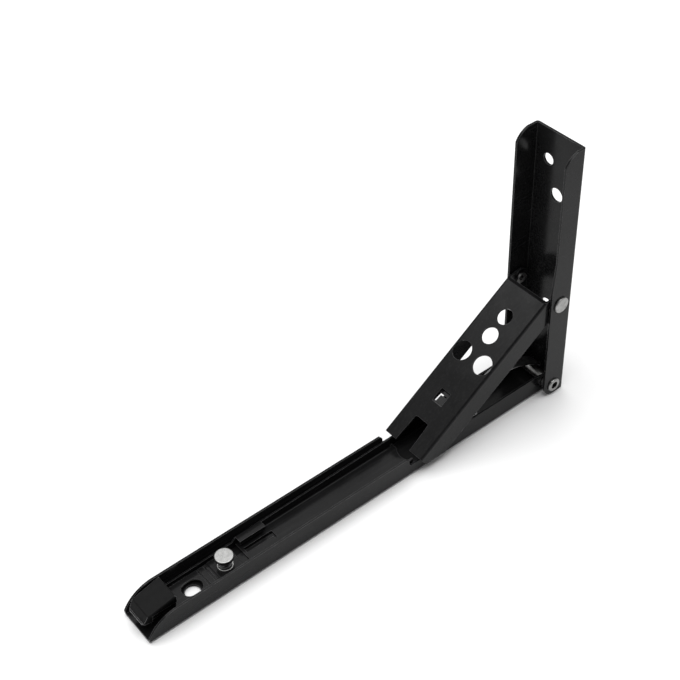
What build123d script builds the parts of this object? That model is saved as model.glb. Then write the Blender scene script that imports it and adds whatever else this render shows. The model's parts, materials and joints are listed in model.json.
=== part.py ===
from build123d import *
import os
from math import atan2, cos, degrees, sin

# Folding shelf bracket, long arm lying on its shelf face, wall plate standing up.
# Millimetres. +Z up, +X from the arm's tip to the wall, origin at the middle of the footprint.
# Three sheet steel channels nest: the wall plate is widest, the brace fits inside it,
# and the arm fits inside the brace.

# ---- driving dimensions ----
ARM_LENGTH = 301.0        # tip of the arm to the wall face
LEG_HEIGHT = 177.6        # height of the wall plate
WALL_X = ARM_LENGTH / 2   # the wall face
TIP_X = WALL_X - ARM_LENGTH

LEG_WIDTH, LEG_DEPTH, LEG_SHEET = 36.8, 16.6, 1.5
BRACE_WIDTH, BRACE_DEPTH, BRACE_SHEET = 32.6, 15.8, 1.3
ARM_WIDTH, ARM_DEPTH, ARM_SHEET = 25.6, 14.4, 1.3
BEND = 1.9                # outside radius of the channels' bends
LEG_CORNER_FOOT = 8.0      # rounded lower front corner of the wall plate's flanges
LEG_CORNER_TOP = ((0.0, 7.0), (1.5, 4.5), (8.5, 0.0))   # arc at the upper one: back from the front, down
NEAR_RELIEF = (2.0, 84.0, 104.0)   # near flange's cut back higher up, and the heights it tapers over

PIVOT_INSET = 9.0         # both pivots, in from the wall face
CORNER_Z = 7.1            # corner pivot above the shelf face
PIVOT_RISE = 65.1         # brace pivot above the corner pivot
RUN = 0.05                # radial running clearance of a pin in its hole
GAP = 0.3                 # clearance between faces that pass each other
PAST = 1.0                # how far a cutter runs past what it cuts

# screw holes: the wall plate's (y, z, radius), the arm's (inset, radius)
OFFSET_HOLE = (7.0, 158.0, 3.7)
WALL_HOLES = ((-1.0, 56.6, 4.5), (-1.0, 137.6, 4.5))
ACCESS_INSET = 265.3          # shelf screw under the lever's oval opening
REAR_SCREW_INSET = 60.0
SHELF_HOLE_R = 4.5

# rivets
RIVET_R, STUB_R = 3.1, 2.5    # shank radii of the corner rivet and the brace rivets
RIVET_WALL, STUB_WALL = 0.6, 0.8   # walls of their tubular ends
HEAD_RISE = 1.3
CORNER_HEAD_R, STUB_HEAD_R = 4.5, 5.2
CORNER_HEAD_ROUND, STUB_HEAD_ROUND = 0.7, 0.6
ROLL_THICK, ROLL_RIM, BORE_DEPTH = 1.2, 1.1, 2.0   # rolled inner end of a brace rivet, and its bore
SPACER_WALL, BRACE_WASHER_WALL = 2.2, 2.4          # radial thickness round the shanks

# arm
TIP_ARC = ((0.0, 2.8), (5.6, 9.4), (18.0, 14.4))   # taper of the flanges at the tip: back, height
END_FALL = 10.0               # the flanges slope down over this length before the pivot
END_R = 5.5                   # rounded end about the corner pivot
END_HEEL = ((3.3, -4.4), 2.0) # where the rounding stops, and how far past the pivot the web ends
NOTCH = (121.0, 107.0, 8.0)   # notch in both flanges: front and rear insets, bottom height
NOTCH_BEVEL, NOTCH_ROUND = (5.6, 2.0), 2.6   # bevel at its front top corner (run, drop), bottom corners

# brace
BRACE_FOOT = (115.3, 12.3)    # lower end of the brace's web: in from the wall, up from the shelf
BRACE_HEAD = (20.2, 76.9)     # upper end of the brace's web, measured the same way
EAR_RADIUS = 6.0
BRACE_HOLES = ((96.0, 0.0, 5.1), (82.0, 0.0, 5.4), (65.4, 8.6, 6.3), (65.4, -8.6, 6.3))
WINDOW = (18.6, 5.3, 6.2)     # open notch at the foot: length, half width above, half width below
POCKET = (31.5, 40.6, -4.4, 3.2)   # pressed pocket in the brace's web: along from, to, y from, to
POCKET_FLOOR = (-0.9, -2.4)   # its floor's height under the web's face, foot end and head end
POCKET_SLITS = ((32.6, 37.8, 1.7, 3.3), (36.9, 37.8, -2.6, 3.3))   # hooked slit through the floor
POCKET_DEPTH = 3.3
FOOT_CUT_Z = 6.0              # the flanges stop this far above the shelf face

# release lever, measured in from the wall
LEVER_PIVOT = (254.0, 2.5)    # axis of the bead it rocks on: inset, height
BEAD_R = 1.2
RAIL_WIDTH, RAIL_SHEET, RAIL_BASE = 21.8, 1.0, 2.5
RAIL_FRONT_INSET, WEB_FRONT_INSET, LEVER_INSET_END = 277.5, 229.6, 114.5
RAIL_TOP_FRONT, RAIL_TOP_MIDDLE, RAIL_TOP_REAR = 5.6, 8.2, 10.4
FLANGES_SHORT = 2.2           # the flanges end this far in front of the web's rear end
MOUTH_OUT, MOUTH_R, MOUTH_HEIGHT = 6.0, 8.6, 1.5   # round bite out of the web's rear end
STRIP_HALF, STRIP_BASE, STRIP_SHEET = 8.2, 3.6, 1.2
GROOVES = ((256.7, 1.3), (252.3, 1.3))   # pressed across the strip: inset, width
GROOVE_DEPTH, GROOVE_MARGIN = 0.85, 0.8
ACCESS_SLOT = (12.6, 10.0)       # oval opening over the shelf screw
PAD_INSETS = (249.8, 235.2)
PAD_TOP = 5.3
TAIL_HALF, TAIL_INSET, TAIL_BASE = 3.4, 207.0, 1.4
SLIT = (228.0, 208.5, 0.8, 4.6, -0.8)   # opening beside the ear: insets, y from, y to, y of its hooked end
EAR_INSETS, EAR_TOP, EAR_REACH, EAR_LIP = (229.0, 211.5), 9.0, 5.4, 2.6   # ear folded in from the far rail
CAP_INSET, CAP_BASE, CAP_HALF, CAP_NOSE_HALF = 279.3, 9.0, 8.4, 6.9
CAP_SKIRT_HALF, CAP_SKIRT_TOP = 6.8, 13.2   # narrower lower part of the cap, under its overhanging top
CAP_FRONT = ((0.0, 9.8), (0.8, 9.9), (3.6, 14.4))   # front of the cap: back from its nose, height
CAP_TOP_REAR, CAP_NOSE_ROUND = 18.4, 2.2
STRIP_HEAD_TOP, STRIP_HEAD_HALF = 12.8, 5.8   # the strip's raised end inside the cap

# stud and its spring
STUD_INSET = 243.2
STUD_R, STUD_HEAD_R = 2.6, 5.45
STUD_TOP, STUD_HEAD, STUD_ROUND = 14.3, 2.0, 0.6
STUD_FOOT = (1.6, 0.9)    # collar on the arm's web: wider than the shank by, thickness
SPRING_R = 3.9
WASHER_R, WASHER_RISE = 4.9, 1.4
STUD_PLAY, PAD_PLAY = 0.5, 0.8   # radial play round the stud in the washer and in the rocking pad

# fold spring
SPRING_HALF, SPRING_SHEET = 4.5, 0.7
SPRING_RIVET_INSET, SPRING_RIVET_R, SPRING_RIVET_HEAD = 73.0, 1.5, 1.0
LEAF_FOOT = (79.0, 67.0)      # flat end held by the rivet
LEAF = ((52.0, 17.0), (38.0, 24.0), (24.0, 21.8), (13.0, 16.6), (5.4, 11.9), (2.9, 9.4))   # inset, height

CORNER = (WALL_X - PIVOT_INSET, CORNER_Z)
MIDDLE = (WALL_X - PIVOT_INSET, CORNER_Z + PIVOT_RISE)


def inset(distance):
    """X of a point this far in from the wall face."""
    return WALL_X - distance


def side_face(points):
    """Filled outline in the side view, from (x, z) points."""
    return make_face(Plane.XZ * Polyline(*points, close=True))


def slab(face, y_low, y_high):
    """A side-view face made solid between two Y values."""
    solid = extrude(face, amount=y_high - y_low, dir=(0, 1, 0))
    return Pos(0, y_low, 0) * solid


def cross_pin(center, radius, y_low, y_high):
    """Round bar along Y at an (x, z) centre."""
    bar = Cylinder(radius, y_high - y_low, rotation=(90, 0, 0))
    return Pos(center[0], (y_low + y_high) / 2, center[1]) * bar


def upright(x, y, radius, z_low, z_high):
    """Round bar along Z."""
    return Pos(x, y, (z_low + z_high) / 2) * Cylinder(radius, z_high - z_low)


def block(x_low, x_high, y_low, y_high, z_low, z_high):
    """Rectangular block between two corners."""
    body = Box(x_high - x_low, y_high - y_low, z_high - z_low)
    return Pos((x_low + x_high) / 2, (y_low + y_high) / 2, (z_low + z_high) / 2) * body


def channel_section(width, depth, sheet, bend):
    """U section in the XY plane: web along X at y = 0, flanges rising to y = depth."""
    outer = Pos(0, depth / 2) * Rectangle(width, depth)
    low = [v for v in outer.vertices() if v.Y < depth / 2]
    outer = fillet(low, bend)
    inner = Pos(0, sheet + depth / 2) * Rectangle(width - 2 * sheet, depth)
    low = [v for v in inner.vertices() if v.Y < depth / 2]
    inner = fillet(low, max(bend - sheet, 0.3))
    return outer - inner


def lying_channel(width, depth, sheet, x_low, x_high, z_base):
    """Channel along X with its web below and its flanges pointing up."""
    section = channel_section(width, depth, sheet, BEND)
    plane = Plane(origin=(x_low, 0, z_base), x_dir=(0, 1, 0), z_dir=(1, 0, 0))
    return extrude(plane * section, amount=x_high - x_low)


# ---- wall plate ----
def plate_outline(relief, relief_low, relief_high):
    """Side view of one half of the wall plate, its flange cut back by relief higher up."""
    low_front = WALL_X - LEG_DEPTH
    front = low_front + relief
    arc = [(front + back, LEG_HEIGHT - drop) for back, drop in LEG_CORNER_TOP]
    edges = Polyline(arc[2], (WALL_X, LEG_HEIGHT), (WALL_X, 0), (low_front, 0),
                     (low_front, relief_low), (front, relief_high), arc[0])
    face = make_face(Plane.XZ * (edges + ThreePointArc(*arc)))
    return fillet([v for v in face.vertices() if v.X < low_front + 1 and v.Z < 1], LEG_CORNER_FOOT)


def wall_plate():
    section = channel_section(LEG_WIDTH, LEG_DEPTH, LEG_SHEET, BEND)
    plane = Plane(origin=(WALL_X, 0, 0), x_dir=(0, 1, 0), z_dir=(0, 0, 1))
    body = extrude(plane * section, amount=LEG_HEIGHT)
    relief, relief_low, relief_high = NEAR_RELIEF
    body = body & (slab(plate_outline(0, relief_low, relief_high), 0, LEG_WIDTH)
                   + slab(plate_outline(relief, relief_low, relief_high), -LEG_WIDTH, 0))
    for y, z, radius in (*WALL_HOLES, OFFSET_HOLE):
        body -= Pos(WALL_X, y, z) * Cylinder(radius, 8, rotation=(0, 90, 0))
    body -= cross_pin(CORNER, RIVET_R + RUN, -LEG_WIDTH, LEG_WIDTH)
    body -= cross_pin(MIDDLE, STUB_R + RUN, -LEG_WIDTH, LEG_WIDTH)
    return body


# ---- rivets and spacers ----
def corner_rivet():
    """Tubular rivet through both flanges, rolled over at each end."""
    reach = LEG_WIDTH / 2 + HEAD_RISE
    body = cross_pin(CORNER, RIVET_R, -reach, reach)
    for side in (-1, 1):
        low, high = sorted((side * LEG_WIDTH / 2, side * reach))
        rim = cross_pin(CORNER, CORNER_HEAD_R, low, high)
        outer_edges = [e for e in rim.edges().filter_by(GeomType.CIRCLE)
                       if abs(abs(e.arc_center.Y) - reach) < 0.01]
        body += fillet(outer_edges, CORNER_HEAD_ROUND)
    return body - cross_pin(CORNER, RIVET_R - RIVET_WALL, -reach - PAST, reach + PAST)


def corner_spacers():
    """Sleeves that keep the arm in the middle of the wall plate."""
    parts = []
    for side in (-1, 1):
        low, high = sorted((side * (ARM_WIDTH / 2 + GAP), side * (LEG_WIDTH / 2 - LEG_SHEET)))
        ring = cross_pin(CORNER, RIVET_R + SPACER_WALL, low, high)
        parts.append(ring - cross_pin(CORNER, RIVET_R + RUN, low - PAST, high + PAST))
    return Compound(children=parts)


def brace_rivets():
    """Two short rivets: flat head outside, rolled tubular end inside the brace."""
    parts = []
    head_face = LEG_WIDTH / 2
    roll_face = BRACE_WIDTH / 2 - BRACE_SHEET - GAP
    for side in (-1, 1):
        low, high = sorted((side * head_face, side * (head_face + HEAD_RISE)))
        head = cross_pin(MIDDLE, STUB_HEAD_R, low, high)
        outer_edges = [e for e in head.edges().filter_by(GeomType.CIRCLE)
                       if abs(abs(e.arc_center.Y) - head_face - HEAD_RISE) < 0.01]
        head = fillet(outer_edges, STUB_HEAD_ROUND)
        low, high = sorted((side * (roll_face - ROLL_THICK), side * head_face))
        shank = cross_pin(MIDDLE, STUB_R, low, high)
        low, high = sorted((side * (roll_face - ROLL_THICK), side * roll_face))
        roll = cross_pin(MIDDLE, STUB_R + ROLL_RIM, low, high)
        low, high = sorted((side * (roll_face - BORE_DEPTH), side * (roll_face + PAST)))
        parts.append(head + shank + roll - cross_pin(MIDDLE, STUB_R - STUB_WALL, low, high))
    return Compound(children=parts)


def brace_washers():
    """Thin washers between the wall plate's flanges and the brace's ears."""
    parts = []
    for side in (-1, 1):
        low, high = sorted((side * (BRACE_WIDTH / 2 + 0.1), side * (LEG_WIDTH / 2 - LEG_SHEET)))
        ring = cross_pin(MIDDLE, STUB_R + BRACE_WASHER_WALL, low, high)
        parts.append(ring - cross_pin(MIDDLE, STUB_R + RUN, low - PAST, high + PAST))
    return Compound(children=parts)


# ---- arm ----
def arm_outline():
    """Side view of the arm: tapered tip, notch for the brace, rounded end at the pivot."""
    notch_front, notch_rear, notch_z = NOTCH
    low, bulge, high = [(TIP_X + back, z) for back, z in TIP_ARC]
    (heel_x, heel_z), web_end = END_HEEL
    heel = (CORNER[0] + heel_x, CORNER_Z + heel_z)
    crown = (CORNER[0], CORNER_Z + END_R)
    tip = Line((TIP_X, 0), low)
    taper = ThreePointArc(low, bulge, high)
    top = Polyline(high, (CORNER[0] - END_FALL, ARM_DEPTH), crown)
    round_end = ThreePointArc(crown, (CORNER[0] + END_R, CORNER_Z), heel)
    base = Polyline(heel, (CORNER[0] + web_end, 0), (TIP_X, 0))
    face = make_face(Plane.XZ * (tip + taper + top + round_end + base))
    bevel_run, bevel_drop = NOTCH_BEVEL
    over = ARM_DEPTH + bevel_drop
    front, rear = inset(notch_front), inset(notch_rear)
    notch = side_face([(front, notch_z), (rear, notch_z), (rear, over),
                       (front - bevel_run + bevel_drop, over), (front, ARM_DEPTH - bevel_drop)])
    notch = fillet([v for v in notch.vertices() if v.Z < notch_z + 0.1], NOTCH_ROUND)
    return face - notch


def arm_channel():
    body = lying_channel(ARM_WIDTH, ARM_DEPTH, ARM_SHEET, TIP_X, CORNER[0] + 6, 0)
    body = body & slab(arm_outline(), -ARM_WIDTH, ARM_WIDTH)
    body -= cross_pin(CORNER, RIVET_R + RUN, -ARM_WIDTH, ARM_WIDTH)
    for hole in (ACCESS_INSET, REAR_SCREW_INSET):
        body -= upright(inset(hole), 0, SHELF_HOLE_R, -1, 3)
    body -= upright(inset(STUD_INSET), 0, STUD_R, -1, 3)
    body -= upright(inset(SPRING_RIVET_INSET), 0, SPRING_RIVET_R, -1, 3)
    return body


# ---- brace ----
BRACE_RUN, BRACE_CLIMB = BRACE_FOOT[0] - BRACE_HEAD[0], BRACE_HEAD[1] - BRACE_FOOT[1]
BRACE_LENGTH = (BRACE_RUN ** 2 + BRACE_CLIMB ** 2) ** 0.5
BRACE_SLOPE = atan2(BRACE_CLIMB, BRACE_RUN)


def to_brace(point):
    """(along, out) of a side-view point: along the brace from its foot, out from its web."""
    dx, dz = point[0] - inset(BRACE_FOOT[0]), point[1] - BRACE_FOOT[1]
    along = dx * cos(BRACE_SLOPE) + dz * sin(BRACE_SLOPE)
    return along, dz * cos(BRACE_SLOPE) - dx * sin(BRACE_SLOPE)


def place_brace(shape):
    """Moves a shape drawn flat (X along the brace, Z out of its web) to where the brace stands."""
    return Pos(inset(BRACE_FOOT[0]), 0, BRACE_FOOT[1]) * Rot(0, -degrees(BRACE_SLOPE), 0) * shape


def brace_channel():
    ear_s, ear_n = to_brace(MIDDLE)
    section = channel_section(BRACE_WIDTH, BRACE_DEPTH, BRACE_SHEET, BEND)
    plane = Plane(origin=(0, 0, 0), x_dir=(0, -1, 0), z_dir=(1, 0, 0))
    body = extrude(plane * section, amount=ear_s + EAR_RADIUS + 1)
    outline = side_face([(0, 0), (BRACE_LENGTH, 0),
                         (ear_s + EAR_RADIUS * 0.82, ear_n + EAR_RADIUS * 0.55),
                         (ear_s, ear_n), (ear_s - 1.0, -BRACE_DEPTH), (0, -BRACE_DEPTH)])
    ear = Plane.XZ * (Pos(ear_s, ear_n) * Circle(EAR_RADIUS))
    body = body & slab(outline + ear, -BRACE_WIDTH, BRACE_WIDTH)
    for along, y, radius in BRACE_HOLES:
        body -= upright(along, y, radius, -3, 2)
    length, narrow, wide = WINDOW
    opening = make_face(Polyline((-1, -wide), (length, -narrow), (length, narrow), (-1, wide),
                                 close=True))
    opening = fillet([v for v in opening.vertices() if v.X > 1], 1.0)
    body -= Pos(0, 0, -3) * extrude(opening, amount=5)
    body = with_pocket(body)
    body = place_brace(body)
    body -= cross_pin(MIDDLE, STUB_R + RUN, -BRACE_WIDTH, BRACE_WIDTH)
    foot = block(inset(BRACE_FOOT[0]) - 20, inset(BRACE_FOOT[0]) + 60, -20, 20, -30, FOOT_CUT_Z)
    foot += block(inset(BRACE_FOOT[0]) - 20, inset(BRACE_FOOT[0]), -20, 20, -30, BRACE_FOOT[1] - 0.01)
    return body - foot


def with_pocket(body):
    """Presses a square pocket into the web, its sloping floor cut by a hooked slit."""
    low, high, y_low, y_high = POCKET
    foot_z, head_z = POCKET_FLOOR
    rim = BRACE_SHEET / 2
    body += block(low - rim, high + rim, y_low - rim, y_high + rim, -POCKET_DEPTH, -rim)
    cavity = side_face([(low, 1), (high, 1), (high, head_z), (low, foot_z)])
    body -= slab(cavity, y_low, y_high)
    under = side_face([(low - 2, -POCKET_DEPTH - 1), (high + 2, -POCKET_DEPTH - 1),
                       (low - 2, foot_z - rim)])
    body -= slab(under, y_low - 2, y_high + 2)
    for slit in POCKET_SLITS:
        body -= block(*slit, -POCKET_DEPTH - 1, 0)
    return body


# ---- release lever ----
def release_channel():
    """Inner channel: low rails in front, full web and flanges behind the stud."""
    body = lying_channel(RAIL_WIDTH, RAIL_TOP_REAR - RAIL_BASE, RAIL_SHEET,
                         inset(RAIL_FRONT_INSET), inset(LEVER_INSET_END), RAIL_BASE)
    front, end, middle = inset(RAIL_FRONT_INSET), inset(LEVER_INSET_END), inset(WEB_FRONT_INSET)
    flange_end = end - FLANGES_SHORT
    outline = side_face([(front, RAIL_BASE + 1.1), (inset(LEVER_PIVOT[0]), RAIL_BASE),
                         (end, RAIL_BASE), (end, RAIL_BASE + 2), (flange_end, RAIL_BASE + 2),
                         (flange_end, RAIL_TOP_REAR), (middle, RAIL_TOP_MIDDLE),
                         (middle - 2, RAIL_TOP_MIDDLE - 2), (front, RAIL_TOP_FRONT)])
    body = body & slab(outline, -RAIL_WIDTH, RAIL_WIDTH)
    inner = RAIL_WIDTH / 2 - RAIL_SHEET
    body -= block(inset(RAIL_FRONT_INSET) - 1, inset(WEB_FRONT_INSET), -inner, inner, 0, 9)
    # hooked slit beside the ear
    front, rear, y_low, y_high, y_hook = SLIT
    body -= block(inset(front), inset(rear), y_low, y_high, 0, 5)
    body -= block(inset(rear) - 1.6, inset(rear), y_hook, y_high, 0, 5)
    # rounded mouth at the rear end, in front of the brace
    body -= upright(inset(LEVER_INSET_END) + MOUTH_OUT, 0, MOUTH_R, 0, RAIL_BASE + MOUTH_HEIGHT)
    return body + folded_ear()


def folded_ear():
    """Ear that rises from the far rail and folds level towards the middle."""
    x_low, x_high = inset(EAR_INSETS[0]), inset(EAR_INSETS[1])
    face = RAIL_WIDTH / 2
    wall = block(x_low, x_high, face - RAIL_SHEET, face, RAIL_BASE + 2, EAR_TOP)
    shelf = block(x_low, x_high, face - EAR_REACH, face, EAR_TOP - RAIL_SHEET, EAR_TOP)
    lip = block(x_low, x_high, face - EAR_REACH, face - EAR_REACH + RAIL_SHEET, EAR_TOP - EAR_LIP, EAR_TOP)
    ear = wall + shelf + lip
    return fillet([e for e in ear.edges().filter_by(Axis.X) if e.center().Z > EAR_TOP - 0.1
                   and e.center().Y > face - 0.1], 0.9)


def thumb_lever():
    """Pressed strip: raised head, oval access hole, two grooves, stud pad and tail."""
    z0, z1, z2, t = STRIP_BASE, PAD_TOP - STRIP_SHEET, STRIP_HEAD_TOP, STRIP_SHEET
    cap_x, pad_x, pad_end = inset(CAP_INSET), inset(PAD_INSETS[0]), inset(PAD_INSETS[1])
    tail_x, tail_z = inset(TAIL_INSET), TAIL_BASE
    tail_top = RAIL_BASE - RUN
    upper = [(cap_x - 17, z2), (cap_x - 2, z2), (cap_x + 1, z0 + t), (pad_x - 1, z0 + t),
             (pad_x, z1 + t), (pad_end, z1 + t), (pad_end + 1.4, tail_top), (tail_x, tail_top)]
    lower = [(tail_x, tail_z), (pad_end, tail_z), (pad_end - 1.2, z1), (pad_x + 1, z1),
             (pad_x, z0), (cap_x, z0), (cap_x - 3, z2 - t), (cap_x - 17, z2 - t)]
    body = slab(side_face(upper + lower), -STRIP_HALF, STRIP_HALF)
    # narrow tail and head
    for side in (-1, 1):
        low, high = sorted((side * STRIP_HEAD_HALF, side * 12))
        body -= block(TIP_X, cap_x + 0.1, low, high, 0, STRIP_HEAD_TOP + 1)
        low, high = sorted((side * TAIL_HALF, side * 12))
        body -= block(pad_end + 1.5, tail_x + 1, low, high, 0, 9)
    slot = Pos(inset(ACCESS_INSET), 0, 0) * SlotOverall(*ACCESS_SLOT)
    body -= extrude(slot, amount=STUD_TOP)
    body -= upright(inset(STUD_INSET), 0, STUD_R + PAD_PLAY, 0, STUD_TOP)
    top = STRIP_BASE + STRIP_SHEET
    for place, width in GROOVES:
        half = STRIP_HALF - GROOVE_MARGIN
        body -= block(inset(place) - width / 2, inset(place) + width / 2, -half, half,
                      top - GROOVE_DEPTH, top + PAST)
    return body + rocking_bead()


def rocking_bead():
    """Round bead across the strip's underside, standing on the arm's web."""
    bar = cross_pin((inset(LEVER_PIVOT[0]), LEVER_PIVOT[1]), BEAD_R, -STRIP_HALF, STRIP_HALF)
    neck = block(inset(LEVER_PIVOT[0]) - BEAD_R, inset(LEVER_PIVOT[0]) + BEAD_R, -STRIP_HALF,
                 STRIP_HALF, LEVER_PIVOT[1], STRIP_BASE + 0.1)
    return bar + neck


def thumb_cap():
    """Moulded cap over the lever's raised front end: overhanging top, lip at the nose, open underneath."""
    front, back = TIP_X + 0.3, inset(CAP_INSET)
    plan = make_face(Polyline((back, -CAP_HALF), (back, CAP_HALF), (front + 5, CAP_HALF - 0.4),
                              (front, CAP_NOSE_HALF), (front, -CAP_NOSE_HALF),
                              (front + 5, 0.4 - CAP_HALF), close=True))
    plan = fillet([v for v in plan.vertices() if v.X < front + 0.1], CAP_NOSE_ROUND)
    body = Pos(0, 0, CAP_BASE) * extrude(plan, amount=CAP_TOP_REAR)
    face = [(front + back_by, z) for back_by, z in CAP_FRONT]
    outline = side_face([(front, CAP_BASE), *face, (back, CAP_TOP_REAR), (back, CAP_BASE)])
    body = body & slab(outline, -CAP_HALF, CAP_HALF)
    top = [e for e in body.edges() if e.center().Z > face[-1][1] - 0.3]
    body = fillet(top, 0.8)
    for side in (-1, 1):
        low, high = sorted((side * CAP_SKIRT_HALF, side * 12))
        body -= block(front + 6, back + 1, low, high, 0, CAP_SKIRT_TOP)
    half = STRIP_HEAD_HALF + RUN
    return body - block(front + 4.2, back + 1, -half, half, 0, STRIP_HEAD_TOP)


# ---- stud and its spring ----

def guide_stud():
    """Headed stud fixed in the arm's web, through the lever's pad."""
    x = inset(STUD_INSET)
    shank = upright(x, 0, STUD_R, 0, STUD_TOP - STUD_HEAD)
    head = upright(x, 0, STUD_HEAD_R, STUD_TOP - STUD_HEAD, STUD_TOP)
    head = fillet(head.edges().group_by(Axis.Z)[-1], STUD_ROUND)
    foot = upright(x, 0, STUD_R + STUD_FOOT[0], ARM_SHEET, ARM_SHEET + STUD_FOOT[1])
    return shank + head + foot


def stud_washer():
    """Washer between the spring and the pad."""
    x = inset(STUD_INSET)
    ring = upright(x, 0, WASHER_R, PAD_TOP, PAD_TOP + WASHER_RISE)
    ring = fillet(ring.edges().group_by(Axis.Z)[-1], STUD_ROUND)
    return ring - upright(x, 0, STUD_R + STUD_PLAY, 0, STUD_TOP)


def stud_spring():
    """Envelope of the compression spring between the washer and the stud's head."""
    x = inset(STUD_INSET)
    low, high = PAD_TOP + WASHER_RISE, STUD_TOP - STUD_HEAD
    return upright(x, 0, SPRING_R, low, high) - upright(x, 0, STUD_R + RUN, 0, 20)


# ---- fold spring ----

def fold_spring():
    """Arched leaf from the arm's web, over the corner rivet, down beside the wall plate's web."""
    z_foot = ARM_SHEET + SPRING_SHEET / 2
    foot = Line((inset(LEAF_FOOT[0]), z_foot), (inset(LEAF_FOOT[1]), z_foot))
    arch = Spline((inset(LEAF_FOOT[1]), z_foot), *[(inset(d), z) for d, z in LEAF],
                  tangents=[(1, 0.1), (0.7, -0.7)])
    leaf = slab(Plane.XZ * trace(foot + arch, SPRING_SHEET), -SPRING_HALF, SPRING_HALF)
    return leaf - upright(inset(SPRING_RIVET_INSET), 0, SPRING_RIVET_R, 0, 5)


def fold_spring_rivet():
    x = inset(SPRING_RIVET_INSET)
    top = ARM_SHEET + SPRING_SHEET
    head = upright(x, 0, 2 * SPRING_RIVET_R, top, top + SPRING_RIVET_HEAD)
    return upright(x, 0, SPRING_RIVET_R, 0, top) + head


NODES = {
    "wall_plate": wall_plate,
    "corner_rivet": corner_rivet,
    "corner_spacers": corner_spacers,
    "brace_rivets": brace_rivets,
    "brace_washers": brace_washers,
    "arm_channel": arm_channel,
    "guide_stud": guide_stud,
    "stud_spring": stud_spring,
    "fold_spring": fold_spring,
    "fold_spring_rivet": fold_spring_rivet,
    "brace_channel": brace_channel,
    "release_channel": release_channel,
    "thumb_lever": thumb_lever,
    "thumb_cap": thumb_cap,
    "stud_washer": stud_washer,
}

os.makedirs("parts", exist_ok=True)
for name, make in NODES.items():
    export_step(make(), "parts/" + name + ".step")
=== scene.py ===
import json
import math
import bmesh
import bpy
from mathutils import Matrix, Vector


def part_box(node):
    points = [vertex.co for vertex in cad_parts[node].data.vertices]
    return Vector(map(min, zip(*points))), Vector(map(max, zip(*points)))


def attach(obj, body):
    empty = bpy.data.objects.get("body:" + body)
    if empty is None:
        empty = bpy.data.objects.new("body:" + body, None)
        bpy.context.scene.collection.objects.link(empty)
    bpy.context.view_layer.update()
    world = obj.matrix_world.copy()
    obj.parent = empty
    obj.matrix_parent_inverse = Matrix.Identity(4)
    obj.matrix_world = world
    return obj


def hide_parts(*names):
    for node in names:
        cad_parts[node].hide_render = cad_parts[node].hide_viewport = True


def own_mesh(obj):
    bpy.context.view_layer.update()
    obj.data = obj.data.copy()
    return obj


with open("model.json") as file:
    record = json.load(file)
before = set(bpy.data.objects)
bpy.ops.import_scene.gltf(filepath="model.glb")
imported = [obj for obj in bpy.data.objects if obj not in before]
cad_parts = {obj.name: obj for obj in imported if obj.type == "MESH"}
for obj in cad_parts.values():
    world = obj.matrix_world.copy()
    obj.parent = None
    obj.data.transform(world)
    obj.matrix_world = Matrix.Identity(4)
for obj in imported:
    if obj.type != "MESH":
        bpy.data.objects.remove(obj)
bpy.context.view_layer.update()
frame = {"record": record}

MM = 0.001


# ---------------------------------------------------------------- node helpers
BEVEL_SAMPLES = 6


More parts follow.
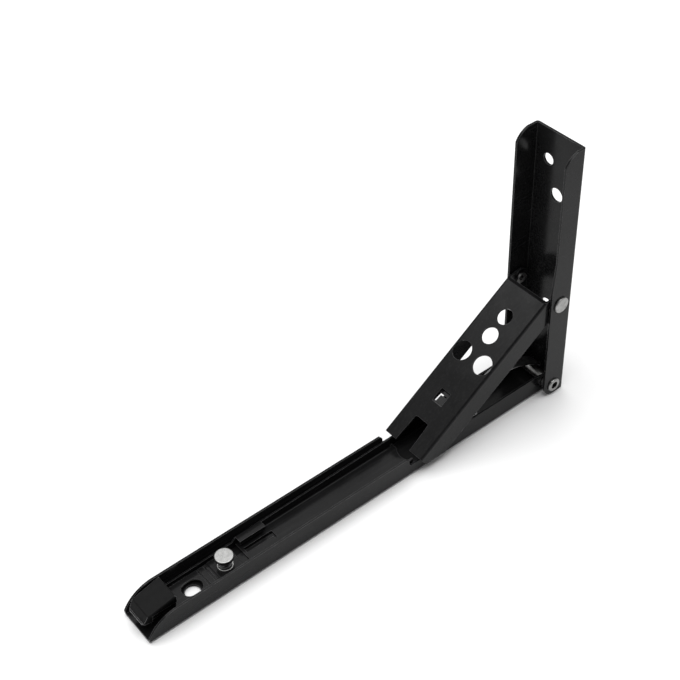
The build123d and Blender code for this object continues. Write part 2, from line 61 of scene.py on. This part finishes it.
class Graph:
    """A material's node tree, with its shader and object coordinates at hand."""

    def __init__(self, name):
        self.material = bpy.data.materials.new(name)
        self.material.use_nodes = True
        self.tree = self.material.node_tree
        self.tree.nodes.clear()
        output = self.add("ShaderNodeOutputMaterial")
        self.shader = self.add("ShaderNodeBsdfPrincipled")
        self.link(self.shader.outputs["BSDF"], output.inputs["Surface"])
        self.place = self.add("ShaderNodeTexCoord").outputs["Object"]

    def add(self, kind, **settings):
        node = self.tree.nodes.new(kind)
        for key, value in settings.items():
            setattr(node, key, value)
        return node

    def link(self, source, target):
        self.tree.links.new(source, target)

    def feed(self, socket, value):
        """Sets a socket to a number or colour, or links another node's output to it."""
        if isinstance(value, (int, float, tuple)):
            socket.default_value = value
        else:
            self.link(value, socket)

    def stretched(self, scale):
        """Object coordinates scaled by axis; below 1 draws a texture out along that axis."""
        node = self.add("ShaderNodeMapping")
        node.inputs["Scale"].default_value = scale
        self.link(self.place, node.inputs["Vector"])
        return node.outputs["Vector"]

    def noise(self, scale, detail, vector=None, roughness=0.5):
        node = self.add("ShaderNodeTexNoise")
        node.inputs["Scale"].default_value = scale
        node.inputs["Detail"].default_value = detail
        node.inputs["Roughness"].default_value = roughness
        self.link(vector or self.place, node.inputs["Vector"])
        return node.outputs["Fac"]

    def ramp(self, source, stops):
        """Two (position, tone) stops, each tone a grey level or a colour."""
        node = self.add("ShaderNodeValToRGB")
        for element, (position, tone) in zip(node.color_ramp.elements, stops):
            element.position = position
            element.color = tone if isinstance(tone, tuple) else (tone, tone, tone, 1)
        self.link(source, node.inputs["Fac"])
        return node.outputs["Color"]

    def math(self, kind, a, b):
        node = self.add("ShaderNodeMath", operation=kind)
        for socket, value in zip(node.inputs, (a, b)):
            self.feed(socket, value)
        return node.outputs["Value"]

    def mix(self, factor, a, b):
        node = self.add("ShaderNodeMix", data_type="RGBA")
        for name, value in (("Factor", factor), ("A", a), ("B", b)):
            self.feed(node.inputs[name], value)
        return node.outputs["Result"]

    def rounded(self, radius):
        """The normal as it would be with the sharp edges rounded off."""
        node = self.add("ShaderNodeBevel", samples=BEVEL_SAMPLES)
        node.inputs["Radius"].default_value = radius
        return node.outputs["Normal"]

    def edges(self, radius, low, high):
        """0 on flat metal, 1 on corners and cut edges, where rounding turns the normal."""
        normal = self.add("ShaderNodeNewGeometry").outputs["Normal"]
        dot = self.add("ShaderNodeVectorMath", operation="DOT_PRODUCT")
        self.link(self.rounded(radius), dot.inputs[0])
        self.link(normal, dot.inputs[1])
        turn = self.math("SUBTRACT", 1.0, dot.outputs["Value"])
        return self.ramp(turn, [(low, 0.0), (high, 1.0)])

    def bump(self, layers, radius):
        """Stacks (height, strength, distance) layers over a normal with rounded edges."""
        normal = self.rounded(radius)
        for height, strength, distance in layers:
            node = self.add("ShaderNodeBump")
            node.inputs["Strength"].default_value = strength
            node.inputs["Distance"].default_value = distance
            self.link(height, node.inputs["Height"])
            self.link(normal, node.inputs["Normal"])
            normal = node.outputs["Normal"]
        self.link(normal, self.shader.inputs["Normal"])

    def set(self, **values):
        for key, value in values.items():
            self.feed(self.shader.inputs[key.replace("_", " ")], value)


# ---------------------------------------------------------------- materials
# Object coordinates are in metres, so a noise scale is about the number of patches per
# metre. Colours are linear RGBA.
def black_coat():
    """Satin black coat with faint streaks and specks, paler on its edges from patchy wear and a
    painted edge highlight.
    """
    dark, pale = (0.0064, 0.0064, 0.0066, 1), (0.0098, 0.0098, 0.0101, 1)
    speck, streak = (0.026, 0.026, 0.027, 1), (0.017, 0.017, 0.0175, 1)
    wear_and_highlight_tone = (0.13, 0.13, 0.132, 1)
    smooth, rough = 0.15, 0.24
    edge_width, corner = 0.4 * MM, 0.35 * MM
    drift_scale, gloss_scale, patch_scale = 35, 120, 260
    streak_scale, speck_scale, peel_scale, grain_scale = 700, 900, 1500, 4200
    along_x = (0.05, 1.0, 1.0)

    g = Graph("black_coat")
    body = g.ramp(g.noise(drift_scale, 4), [(0.35, dark), (0.68, pale)])
    specks = g.ramp(g.noise(speck_scale, 4, roughness=0.7), [(0.62, 0.0), (0.74, 1.0)])
    body = g.mix(specks, body, speck)
    streaks = g.noise(streak_scale, 5, g.stretched(along_x))
    body = g.mix(g.ramp(streaks, [(0.50, 0.0), (0.72, 0.45)]), body, streak)
    patchy = g.ramp(g.noise(patch_scale, 5), [(0.3, 0.35), (0.62, 1.0)])
    # pale edges: patchy wear, and a painted edge highlight along the edges
    wear_and_highlight = g.math("MULTIPLY", g.edges(edge_width, 0.012, 0.18), patchy)
    g.set(Base_Color=g.mix(wear_and_highlight, body, wear_and_highlight_tone),
          Roughness=g.ramp(g.noise(gloss_scale, 5), [(0.3, smooth), (0.72, rough)]),
          Specular_IOR_Level=0.12)
    g.bump([(g.noise(peel_scale, 2), 0.09, 0.05 * MM),
            (g.noise(grain_scale, 3), 0.05, 0.02 * MM)], corner)
    return g.material


def rivet_zinc():
    """Bright zinc with a fine grain, a duller bloom and rims paled by a painted highlight."""
    dull, bright = (0.24, 0.24, 0.236, 1), (0.34, 0.34, 0.335, 1)
    painted_edge_highlight = (0.80, 0.80, 0.79, 1)
    smooth, rough = 0.24, 0.42
    edge_width, corner = 0.35 * MM, 0.25 * MM
    bloom_scale, gloss_scale, grain_scale = 420, 800, 2600

    g = Graph("rivet_zinc")
    body = g.ramp(g.noise(bloom_scale, 4), [(0.32, dull), (0.66, bright)])
    # the pale rims are a painted highlight
    g.set(Base_Color=g.mix(g.edges(edge_width, 0.01, 0.3), body, painted_edge_highlight), Metallic=1.0,
          Roughness=g.ramp(g.noise(gloss_scale, 5), [(0.3, smooth), (0.7, rough)]))
    g.bump([(g.noise(grain_scale, 4), 0.12, 0.03 * MM)], corner)
    return g.material


def spring_steel():
    """Rolled spring steel: grain drawn out along X over a mottled tone, its edges paled by a
    painted highlight.
    """
    dark, pale = (0.19, 0.19, 0.192, 1), (0.36, 0.36, 0.36, 1)
    painted_edge_highlight = (0.66, 0.66, 0.65, 1)
    smooth, rough = 0.28, 0.46
    edge_width, corner = 0.3 * MM, 0.2 * MM
    mottle_scale, grain_scale = 240, 900
    along_x = (0.12, 1.0, 0.4)

    g = Graph("spring_steel")
    grain = g.noise(grain_scale, 5, g.stretched(along_x))
    body = g.ramp(g.noise(mottle_scale, 5), [(0.3, dark), (0.7, pale)])
    # the pale edges are a painted highlight
    g.set(Base_Color=g.mix(g.edges(edge_width, 0.02, 0.3), body, painted_edge_highlight), Metallic=1.0,
          Roughness=g.ramp(grain, [(0.3, smooth), (0.7, rough)]))
    g.bump([(grain, 0.15, 0.03 * MM)], corner)
    return g.material


def cap_plastic():
    """Moulded black plastic with a fine grain, paler on its corners as a painted edge highlight.
    """
    dark, pale = (0.0020, 0.0020, 0.0021, 1), (0.0032, 0.0032, 0.0033, 1)
    painted_edge_highlight = (0.26, 0.26, 0.262, 1)
    smooth, rough = 0.36, 0.50
    edge_width, corner = 0.5 * MM, 0.5 * MM
    drift_scale, gloss_scale, grain_scale = 160, 300, 2300

    g = Graph("cap_plastic")
    body = g.ramp(g.noise(drift_scale, 4), [(0.35, dark), (0.7, pale)])
    # the pale corners are a painted edge highlight
    g.set(Base_Color=g.mix(g.edges(edge_width, 0.01, 0.16), body, painted_edge_highlight),
          Roughness=g.ramp(g.noise(gloss_scale, 4), [(0.3, smooth), (0.7, rough)]),
          Specular_IOR_Level=0.10)
    g.bump([(g.noise(grain_scale, 4), 0.25, 0.04 * MM)], corner)
    return g.material


MATERIALS = {"black_coat": black_coat(), "rivet_zinc": rivet_zinc(),
             "spring_steel": spring_steel(), "cap_plastic": cap_plastic()}
for part in frame["record"]["subparts"]:
    obj = bpy.data.objects.get(part["node"])
    if obj is None:
        raise RuntimeError("no object for " + part["node"])
    material = MATERIALS[part["material_slot"]]
    if not obj.data.materials:
        obj.data.materials.append(material)
    for holder in obj.material_slots:
        holder.material = material


# ---------------------------------------------------------------- springs
WALL_X = frame["record"]["mounts"][0]["pos_m"][0]


def sweep(name, rings):
    """Closed tube of spring steel through rings that have the same number of points."""
    mesh = bmesh.new()
    rings = [[mesh.verts.new(point) for point in ring] for ring in rings]
    sides = len(rings[0])
    for near, far in zip(rings, rings[1:]):
        for k in range(sides):
            after = (k + 1) % sides
            mesh.faces.new((near[k], near[after], far[after], far[k]))
    mesh.faces.new(list(reversed(rings[0])))
    mesh.faces.new(rings[-1])
    bmesh.ops.recalc_face_normals(mesh, faces=mesh.faces)
    data = bpy.data.meshes.new(name)
    mesh.to_mesh(data)
    mesh.free()
    for face in data.polygons:
        face.use_smooth = len(face.vertices) == 4
    data.materials.append(MATERIALS["spring_steel"])
    obj = bpy.data.objects.new(name, data)
    bpy.context.collection.objects.link(obj)
    return obj


def coil_spring():
    """Compression spring round the stud, its end coils closed up."""
    low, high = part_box("stud_spring")
    wire = 0.42 * MM
    centre = (Vector(low) + Vector(high)) / 2
    radius = (high[0] - low[0]) / 2 - wire
    turns, steps, sides = 4.2, 220, 12
    span = high[2] - low[2] - 2 * wire
    # share of the wire in each closed end, and of the height that rises evenly all along
    closed, even = 0.13, 0.12
    path = []
    for i in range(steps + 1):
        t = i / steps
        opened = min(max((t - closed) / (1 - 2 * closed), 0.0), 1.0)
        lift = even * t + (1 - even) * opened
        turn = 2 * math.pi * turns * t
        path.append(Vector((centre.x + radius * math.cos(turn),
                            centre.y + radius * math.sin(turn),
                            low[2] + wire + span * lift)))
    angles = [2 * math.pi * k / sides for k in range(sides)]

    def ring(i):
        ahead = (path[min(i + 1, steps)] - path[max(i - 1, 0)]).normalized()
        out = Vector((path[i].x - centre.x, path[i].y - centre.y, 0)).normalized()
        up = ahead.cross(out).normalized()
        return [path[i] + wire * (math.cos(a) * out + math.sin(a) * up) for a in angles]

    spring = sweep("stud_coil", [ring(i) for i in range(steps + 1)])
    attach(spring, "arm")
    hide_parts("stud_spring")
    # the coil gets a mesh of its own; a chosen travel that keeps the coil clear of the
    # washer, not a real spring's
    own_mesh(spring)


# arched leaf: distance in from the wall, height, both in millimetres
LEAF_PATH = ((79, 1.65), (67, 1.7), (60, 8.6), (52, 17.0), (45, 22.4), (38, 24.0), (31, 23.9),
             (24, 21.8), (18, 19.2), (13, 16.6), (8.6, 14.0), (5.8, 11.8))


def through(points, pieces):
    """Catmull-Rom curve through points, with this many pieces from each to the next."""
    ends = [points[0] * 2 - points[1], *points, points[-1] * 2 - points[-2]]
    curve = []
    for a, b, c, d in zip(ends, ends[1:], ends[2:], ends[3:]):
        for k in range(pieces):
            t = k / pieces
            curve.append(0.5 * (2 * b + (c - a) * t + (2 * a - 5 * b + 4 * c - d) * t * t
                                + (3 * b - a - 3 * c + d) * t ** 3))
    return [*curve, points[-1]]


def leaf_spring():
    """Arched leaf with bevelled edges, its free end rolled into a small eye."""
    low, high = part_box("fold_spring")
    half, thick = (high[1] - low[1]) / 2, 0.35 * MM
    pieces, eye, eye_steps, eye_degrees = 6, 0.4 * MM, 14, 22
    path = through([Vector((WALL_X - d * MM, 0, z * MM)) for d, z in LEAF_PATH], pieces)
    ahead = (path[-1] - path[-2]).normalized()
    middle = path[-1] + eye * Vector((ahead.z, 0, -ahead.x))
    start = path[-1] - middle
    for k in range(1, eye_steps + 1):
        path.append(middle + Matrix.Rotation(math.radians(eye_degrees * k), 3, "Y") @ start)
    edge = thick * 0.7
    outline = [(-half, -edge), (-half + edge, -thick), (half - edge, -thick), (half, -edge),
               (half, edge), (half - edge, thick), (edge - half, thick), (-half, edge)]
    last = len(path) - 1

    def ring(i):
        along = (path[min(i + 1, last)] - path[max(i - 1, 0)]).normalized()
        out = Vector((-along.z, 0, along.x))
        return [path[i] + Vector((0, y, 0)) + out * n for y, n in outline]

    leaf = sweep("fold_leaf", [ring(i) for i in range(last + 1)])
    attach(leaf, "arm")
    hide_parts("fold_spring")
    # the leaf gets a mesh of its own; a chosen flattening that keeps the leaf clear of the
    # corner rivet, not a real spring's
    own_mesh(leaf)


coil_spring()
leaf_spring()


# ---------------------------------------------------------------- stage, light and camera
def stage_floor():
    """Matt pale card, just under the part so that the two don't share a face."""
    size, gap, tone_scale = 14, 0.4 * MM, 3
    grey, pale = (0.90, 0.90, 0.90, 1), (0.93, 0.93, 0.93, 1)
    g = Graph("floor_card")
    g.set(Base_Color=g.ramp(g.noise(tone_scale, 2), [(0.3, grey), (0.7, pale)]),
          Roughness=0.9, Specular_IOR_Level=0.1)
    bpy.ops.mesh.primitive_plane_add(size=size, location=(0, 0, -gap))
    floor = bpy.context.object
    floor.name = "floor"
    floor.data.materials.append(g.material)


def area_light(name, place, aim, size, power):
    data = bpy.data.lights.new(name, "AREA")
    data.shape = "RECTANGLE"
    data.size, data.size_y = size
    data.energy = power
    lamp = bpy.data.objects.new(name, data)
    bpy.context.collection.objects.link(lamp)
    lamp.location = place
    lamp.rotation_mode = "QUATERNION"
    lamp.rotation_quaternion = (Vector(aim) - Vector(place)).to_track_quat("-Z", "Y")


def camera(azimuth, elevation, roll, distance, aim, offset, lens):
    """Looks along one direction at aim, moved right and up by offset; angles in degrees."""
    a, e, r = (math.radians(v) for v in (azimuth, elevation, roll))
    back = Vector((math.sin(a) * math.cos(e), -math.cos(a) * math.cos(e), math.sin(e)))
    right = Vector((0, 0, 1)).cross(back).normalized()
    up = back.cross(right)
    right, up = (math.cos(r) * right + math.sin(r) * up,
                 math.cos(r) * up - math.sin(r) * right)
    data = bpy.data.cameras.new("view")
    data.sensor_width, data.lens = 36, lens
    data.clip_start, data.clip_end = 0.01, 30
    obj = bpy.data.objects.new("view", data)
    bpy.context.collection.objects.link(obj)
    place = Vector(aim) + right * offset[0] + up * offset[1] + back * distance
    obj.matrix_world = Matrix.Translation(place) @ Matrix((right, up, back)).transposed().to_4x4()
    bpy.context.scene.camera = obj


def studio_world(bright, dim, toward):
    """Even white studio of strength bright, falling to dim round the direction toward."""
    fade_starts, fade_ends = 0.70, 0.93
    world = bpy.data.worlds.new("studio")
    world.use_nodes = True
    tree = world.node_tree
    sky = tree.nodes["Background"]
    place = tree.nodes.new("ShaderNodeTexCoord")
    facing = tree.nodes.new("ShaderNodeVectorMath")
    facing.operation = "DOT_PRODUCT"
    facing.inputs[1].default_value = toward.normalized()
    tree.links.new(place.outputs["Generated"], facing.inputs[0])
    fade = tree.nodes.new("ShaderNodeMapRange")
    fade.interpolation_type = "SMOOTHSTEP"
    for name, value in (("From Min", fade_starts), ("From Max", fade_ends),
                        ("To Min", bright), ("To Max", dim)):
        fade.inputs[name].default_value = value
    tree.links.new(facing.outputs["Value"], fade.inputs["Value"])
    tree.links.new(fade.outputs["Result"], sky.inputs["Strength"])
    sky.inputs["Color"].default_value = (1, 1, 1, 1)
    bpy.context.scene.world = world


stage_floor()
studio_world(bright=0.58, dim=0.05, toward=Vector((-0.36, -0.80, 0.47)))
area_light("softbox_top", place=(0.03, 0.25, 2.2), aim=(0, 0, 0), size=(2.5, 2.5), power=58)
camera(azimuth=-36.676, elevation=42.544, roll=-3.035, distance=0.73956,
       aim=(0.0005, 0, 0.05), offset=(-0.00813, 0.04913), lens=70.44)
bpy.context.scene.view_settings.view_transform = "Standard"
